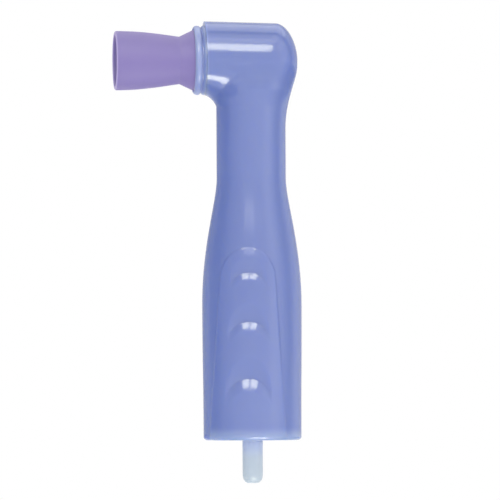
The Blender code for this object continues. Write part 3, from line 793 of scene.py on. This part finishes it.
def housing_skin():
    ovals = body_ovals()
    laid = [oval_matrix(*oval) for oval in ovals]
    bm = bmesh.new()
    bmesh.ops.create_grid(bm, x_segments=BODY_SEGMENTS, y_segments=len(ovals) - 1, size=1)
    for vert in bm.verts:
        turn = pi * (vert.co.x + 1)
        number = round((vert.co.y + 1) / 2 * (len(ovals) - 1))
        vert.co = laid[number] @ Vector((cos(turn), sin(turn), 0))
    bmesh.ops.remove_doubles(bm, verts=bm.verts, dist=MERGE)
    swell_drum(bm)
    straighten_flank(bm)
    press_grip(bm)
    bmesh.ops.holes_fill(bm, edges=bm.edges, sides=0)
    bmesh.ops.recalc_face_normals(bm, faces=bm.faces)
    return bm


skin = housing_skin()
print("housing skin:", len(skin.faces), "faces")

# %% [markdown]
# ## Turned shapes
#
# Bores, ring, cup, shaft and bushing are all round, so each is half an outline spun about its axis, as on
# a lathe. The drive axis is Z. The cup's axis crosses it at the head and points along -X.

# %% A lathe
TURN_STEPS = 96
SHARP_ANGLE = radians(35)


def lathe(points, cup_axis=False, closed=False):
    """Spin (radius, along) points about the drive axis, or about the cup's axis."""
    bm = bmesh.new()
    if cup_axis:
        verts = [bm.verts.new((-along, 0, head_axis + radius)) for radius, along in points]
        axis, centre = (1, 0, 0), (0, 0, head_axis)
    else:
        verts = [bm.verts.new((radius, 0, along)) for radius, along in points]
        axis, centre = (0, 0, 1), (0, 0, 0)
    pairs = list(zip(verts, verts[1:])) + ([(verts[-1], verts[0])] if closed else [])
    edges = [bm.edges.new(pair) for pair in pairs]
    bmesh.ops.spin(
        bm, geom=verts + edges, cent=centre, axis=axis, angle=2 * pi, steps=TURN_STEPS, use_merge=True
    )
    bmesh.ops.remove_doubles(bm, verts=bm.verts, dist=MERGE)
    bmesh.ops.recalc_face_normals(bm, faces=bm.faces)
    return bm


def soften(bm, width, segments=2):
    """Round every sharp edge a little, as a mould does."""
    sharp = [e for e in bm.edges if e.is_manifold and e.calc_face_angle() > SHARP_ANGLE]
    bmesh.ops.bevel(
        bm,
        geom=sharp,
        offset=width,
        offset_type="OFFSET",
        segments=segments,
        profile=0.5,
        affect="EDGES",
        clamp_overlap=True,
        material=-1,
    )
    return bm


def add_piece(name, bm, material):
    mesh = bpy.data.meshes.new(name)
    bm.to_mesh(mesh)
    bm.free()
    mesh.shade_smooth()
    mesh.set_sharp_from_angle(angle=SHARP_ANGLE)
    mesh.materials.append(material)
    piece = bpy.data.objects.new(name, mesh)
    bpy.context.scene.collection.objects.link(piece)
    return piece


def cut(piece, bm, operation="DIFFERENCE"):
    """Apply a Boolean with a shape that is thrown away afterwards."""
    tool = add_piece("tool", bm, piece.data.materials[0])
    boolean = piece.modifiers.new(operation.title(), "BOOLEAN")
    boolean.operation = operation
    boolean.solver = "MANIFOLD"
    boolean.object = tool
    graph = bpy.context.evaluated_depsgraph_get()
    result = bpy.data.meshes.new_from_object(piece.evaluated_get(graph))
    piece.modifiers.clear()
    old, piece.data = piece.data, result
    result.name = piece.name
    bpy.data.meshes.remove(old)
    bpy.data.objects.remove(tool)


print("the lathe turns in", TURN_STEPS, "steps")

# %% Bores
SOCKET_RADIUS = 0.00325
SOCKET_DEPTH = 0.0200
SOCKET_LEAD_IN = 0.0004
BUSHING_SEAT = 0.00265
SEAT_TOP = 0.0256
NECK_BORE = 0.002217
DRIVE_BORE_STOP = 0.00065
HEAD_BORE = 0.00332
CHAMBER_START = 0.000827
CHAMBER_RADIUS = 0.002467
REAR_BORE = 0.00108
REAR_BORE_END = -0.003617
SPARE = 0.001

drive_bore_top = head_axis - DRIVE_BORE_STOP
drive_bore = [
    (0, drive_bore_top),
    (NECK_BORE, drive_bore_top),
    (NECK_BORE, SEAT_TOP),
    (BUSHING_SEAT, SEAT_TOP),
    (BUSHING_SEAT, SOCKET_DEPTH),
    (SOCKET_RADIUS, SOCKET_DEPTH),
    (SOCKET_RADIUS, SOCKET_LEAD_IN),
    (SOCKET_RADIUS + SOCKET_LEAD_IN, 0),
    (SOCKET_RADIUS + SOCKET_LEAD_IN, -SPARE),
    (0, -SPARE),
]
head_bore = [
    (0, HEAD_FRONT + SPARE),
    (HEAD_BORE, HEAD_FRONT + SPARE),
    (HEAD_BORE, CHAMBER_START),
    (CHAMBER_RADIUS, CHAMBER_START),
    (CHAMBER_RADIUS, -CHAMBER_RADIUS),
    (REAR_BORE, -CHAMBER_RADIUS),
    (REAR_BORE, REAR_BORE_END),
    (0, REAR_BORE_END),
]
housing = add_piece("housing_shell", skin, body_plastic)
cut(housing, lathe(drive_bore))
cut(housing, lathe(head_bore, cup_axis=True))
housing.data.set_sharp_from_angle(angle=SHARP_ANGLE)
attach(housing, "body")
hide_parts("housing")
print("housing:", len(housing.data.polygons), "faces")

# %% [markdown]
# ## Cap ring
#
# The paler ring at the head's mouth is the front of a snap-in cap. It has a rounded bead, a groove behind
# it, a rounded shoulder that meets the head, and a plug inside the head that carries the rotor. It is all
# round, so it is spun in one piece.

# %% Cap ring
CAP_RADIUS = 0.0040
CAP_FRONT = 0.00645
CAP_BEAD_FRONT = 0.00668
CAP_BEAD_ROUND = 0.00035
CAP_BEAD_STRETCH = 1.25
CAP_BEAD_TURN = -65
CAP_SEAT = 0.00536
CAP_SHOULDER = 0.00024
CAP_SHOULDER_STRETCH = 1.55
CAP_INNER_END = 0.003052
CAP_PLUG_RADIUS = 0.00327
CAP_BORE = 0.00178
BEAD_STEPS = 16
SHOULDER_STEPS = 10

bead_middle = (CAP_RADIUS - CAP_BEAD_ROUND, CAP_BEAD_FRONT - CAP_BEAD_ROUND)


def stretch(points, start, factor):
    """Lengthen an outline along the axis, away from a start that stays."""
    return [(radius, start + (along - start) * factor) for radius, along in points]


bead = arc(bead_middle, CAP_BEAD_ROUND, 90, CAP_BEAD_TURN, BEAD_STEPS)
shoulder = arc((bead[-1][0], CAP_SEAT), CAP_SHOULDER, 90, 0, SHOULDER_STEPS)
cap_outline = [
    (CAP_BORE, CAP_FRONT),
    (bead_middle[0], CAP_FRONT),
    *stretch(bead, CAP_BEAD_FRONT, CAP_BEAD_STRETCH),
    *stretch(shoulder, CAP_SEAT, CAP_SHOULDER_STRETCH),
    (CAP_PLUG_RADIUS, CAP_SEAT),
    (CAP_PLUG_RADIUS, CAP_INNER_END),
    (CAP_BORE, CAP_INNER_END),
]
cap = add_piece("cap_ring", lathe(cap_outline, cup_axis=True, closed=True), cap_plastic)
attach(cap, "body")
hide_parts("head_cap")
print("cap ring:", len(cap.data.polygons), "faces")

# %% [markdown]
# ## Polishing cup
#
# The cup is soft rubber. A short cone snaps on the rotor's button, the outside draws in to a waist and
# opens to a thin rim, and eight webs stand on the inside wall. The wall is spun, and the webs are small
# blocks set round the axis and joined to it.

# %% Cup wall
CUP_BASE = 0.00647
CUP_LENGTH = 0.00928
CUP_BASE_RADIUS = 0.0036
CUP_WAIST_RADIUS = 0.00274
CUP_WAIST_AT = 0.0018
CUP_MOUTH_RADIUS = 0.00342
CUP_MOUTH_PULL = 0.45
CUP_WAIST_PULL = 0.25
CUP_WAIST_SLOPE = 0.13
CUP_WALL = 0.0004
CUP_FLOOR_DEPTH = 0.0052
CUP_FLOOR_RADIUS = 0.0020
CUP_RIM_ROUND = 0.0002
POCKET_NECK_RADIUS = 0.00105
POCKET_NECK_DEPTH = 0.0013
POCKET_RADIUS = 0.00165
POCKET_DEPTH = 0.0026
CUP_STEPS = 40
RIM_STEPS = 6

cup_rim = CUP_BASE + CUP_LENGTH
cup_floor = cup_rim - CUP_FLOOR_DEPTH
cup_waist = CUP_BASE + CUP_WAIST_AT
cup_reach = cup_rim - cup_waist
cup_mouth_inside = CUP_MOUTH_RADIUS - CUP_WALL
waist_handle = cup_waist + CUP_WAIST_PULL * cup_reach
cup_wall = span(
    (CUP_MOUTH_RADIUS, cup_rim - CUP_RIM_ROUND),
    (CUP_MOUTH_RADIUS, cup_rim - CUP_MOUTH_PULL * cup_reach),
    (CUP_WAIST_RADIUS + CUP_WAIST_SLOPE * CUP_WAIST_PULL * cup_reach, waist_handle),
    (CUP_WAIST_RADIUS, cup_waist),
    CUP_STEPS,
)
rim_centre = (CUP_MOUTH_RADIUS - CUP_RIM_ROUND, cup_rim - CUP_RIM_ROUND)
cup_outline = [
    (0, cup_floor),
    (CUP_FLOOR_RADIUS, cup_floor),
    (cup_mouth_inside, cup_rim),
    *arc(rim_centre, CUP_RIM_ROUND, 90, 0, RIM_STEPS),
    *cup_wall,
    (CUP_BASE_RADIUS, CUP_BASE),
    (POCKET_NECK_RADIUS, CUP_BASE),
    (POCKET_NECK_RADIUS, CUP_BASE + POCKET_NECK_DEPTH),
    (POCKET_RADIUS, CUP_BASE + POCKET_NECK_DEPTH),
    (POCKET_RADIUS, CUP_BASE + POCKET_DEPTH),
    (0, CUP_BASE + POCKET_DEPTH),
]
cup = add_piece("polishing_cup", lathe(cup_outline, cup_axis=True), cup_rubber)
print("cup wall:", len(cup.data.polygons), "faces")

# %% Cup webs
CUP_WEBS = 8
CUP_WEB_HEIGHT = 0.0006
CUP_WEB_THICKNESS = 0.0004
CUP_WEB_SETBACK = 0.0010
CUP_WEB_ROOT = 0.00017
CUP_WEB_EDGE = 0.00006


def web(turn):
    """One tapering block, from the cup's floor to just short of its rim."""
    bm = bmesh.new()
    corners = bmesh.ops.create_cube(bm, size=1)["verts"]
    top = cup_rim - CUP_WEB_SETBACK
    slope = (cup_mouth_inside - CUP_FLOOR_RADIUS) / CUP_FLOOR_DEPTH
    for vert in corners:
        at_top, outer = vert.co.x < 0, vert.co.z > 0
        along = top if at_top else cup_floor - CUP_WEB_ROOT
        wall = CUP_FLOOR_RADIUS + slope * (along - cup_floor)
        inward = CUP_WEB_HEIGHT / 2 if at_top else CUP_WEB_HEIGHT
        radius = wall + CUP_WEB_ROOT if outer else wall - inward
        vert.co = (-along, vert.co.y * CUP_WEB_THICKNESS, head_axis + radius)
    soften(bm, CUP_WEB_EDGE)
    spin_round = Matrix.Rotation(turn, 3, "X")
    bmesh.ops.rotate(bm, verts=bm.verts, cent=(0, 0, head_axis), matrix=spin_round)
    return bm


for number in range(CUP_WEBS):
    cut(cup, web(2 * pi * (number + 0.5) / CUP_WEBS), "UNION")
cup.data.set_sharp_from_angle(angle=SHARP_ANGLE)
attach(cup, "rotor")
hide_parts("prophy_cup")
print("cup with webs:", len(cup.data.polygons), "faces")

# %% [markdown]
# ## Drive shaft
#
# Only the tail of the shaft shows, below the sleeve: a plain 2.35 mm shank with a rounded tip. The shaft
# is spun finely. Its pinion has true teeth already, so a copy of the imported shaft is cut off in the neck
# under the teeth, and the top is joined to the spun shaft.

# %% Spun shaft
SHANK_RADIUS = 0.001175
TAIL_REACH = 0.00496
TAIL_TIP_RADIUS = 0.00117
TAIL_TIP_ROUND = 0.00065
TAIL_TIP_STRETCH = 1.55
TIP_STEPS = 10
STEP_BOTTOM = 0.01885
STEP_TOP = 0.01905
REAR_JOURNAL = 0.001375
COLLAR_BOTTOM = 0.02465
COLLAR_TOP = 0.02545
COLLAR_RADIUS = 0.00257
COLLAR_EDGE = 0.00012
SHAFT_RADIUS = 0.0016
JOURNAL_FOOT = 0.0366
JOURNAL_BOTTOM = 0.037137
JOURNAL_TOP = 0.040137
FRONT_JOURNAL = 0.002137
NECK_BEHIND_TEETH = 0.0013
NECK_CUT = 0.04045
NECK_TOP = 0.0406

tip_centre = (TAIL_TIP_RADIUS - TAIL_TIP_ROUND, TAIL_TIP_ROUND - TAIL_REACH)
tip = arc(tip_centre, TAIL_TIP_ROUND, 0, -90, TIP_STEPS)
shaft_outline = [
    (0, NECK_TOP),
    (NECK_BEHIND_TEETH, NECK_TOP),
    (NECK_BEHIND_TEETH, JOURNAL_TOP),
    (FRONT_JOURNAL, JOURNAL_TOP),
    (FRONT_JOURNAL, JOURNAL_BOTTOM),
    (SHAFT_RADIUS, JOURNAL_FOOT),
    (SHAFT_RADIUS, COLLAR_TOP),
    (COLLAR_RADIUS - COLLAR_EDGE, COLLAR_TOP),
    (COLLAR_RADIUS, COLLAR_TOP - COLLAR_EDGE),
    (COLLAR_RADIUS, COLLAR_BOTTOM),
    (REAR_JOURNAL, COLLAR_BOTTOM),
    (REAR_JOURNAL, STEP_TOP),
    (SHANK_RADIUS, STEP_BOTTOM),
    (SHANK_RADIUS, 0),
    *stretch(tip, -TAIL_REACH, TAIL_TIP_STRETCH),
    (0, -TAIL_REACH),
]
shaft = add_piece("drive_spindle", lathe(shaft_outline), natural_plastic)
print("spun shaft:", len(shaft.data.polygons), "faces")

# %% Pinion
pinion = bmesh.new()
pinion.from_mesh(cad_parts["drive_shaft"].data)
bmesh.ops.remove_doubles(pinion, verts=pinion.verts, dist=MERGE)
everything = pinion.verts[:] + pinion.edges[:] + pinion.faces[:]
bmesh.ops.bisect_plane(
    pinion, geom=everything, dist=MERGE, plane_co=(0, 0, NECK_CUT), plane_no=(0, 0, 1), clear_inner=True
)
bmesh.ops.holes_fill(pinion, edges=pinion.edges, sides=0)
bmesh.ops.recalc_face_normals(pinion, faces=pinion.faces)
cut(shaft, pinion, "UNION")
shaft.data.set_sharp_from_angle(angle=SHARP_ANGLE)
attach(shaft, "drive")
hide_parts("drive_shaft")
print("shaft with pinion:", len(shaft.data.polygons), "faces")

# %% [markdown]
# ## Bushing and gear
#
# The bushing closes the neck's lower end and carries the shaft. It shows deep in the socket, so it is
# spun again with eased edges. The driven gear is closed in between head and cup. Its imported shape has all
# its teeth and stays, with a white plastic finish.

# %% Neck bushing
BUSHING_BORE = 0.001455
BUSHING_TOP = 0.0245
BUSHING_RADIUS = 0.0026
FLANGE_RADIUS = 0.0032
FLANGE_TOP = 0.01995
FLANGE_BOTTOM = 0.01915
BUSHING_EDGE = 0.00012

bushing_outline = [
    (BUSHING_BORE, BUSHING_TOP),
    (BUSHING_RADIUS, BUSHING_TOP),
    (BUSHING_RADIUS, FLANGE_TOP),
    (FLANGE_RADIUS, FLANGE_TOP),
    (FLANGE_RADIUS, FLANGE_BOTTOM),
    (BUSHING_BORE, FLANGE_BOTTOM),
]
bushing_form = soften(lathe(bushing_outline, closed=True), BUSHING_EDGE)
bushing = add_piece("neck_bushing", bushing_form, white_plastic)
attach(bushing, "body")
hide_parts("rear_bushing")
print("bushing:", len(bushing.data.polygons), "faces")

# %% Driven gear
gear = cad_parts["driven_gear"]
gear.material_slots[0].material = white_plastic
print("gear:", len(gear.data.polygons), "faces")
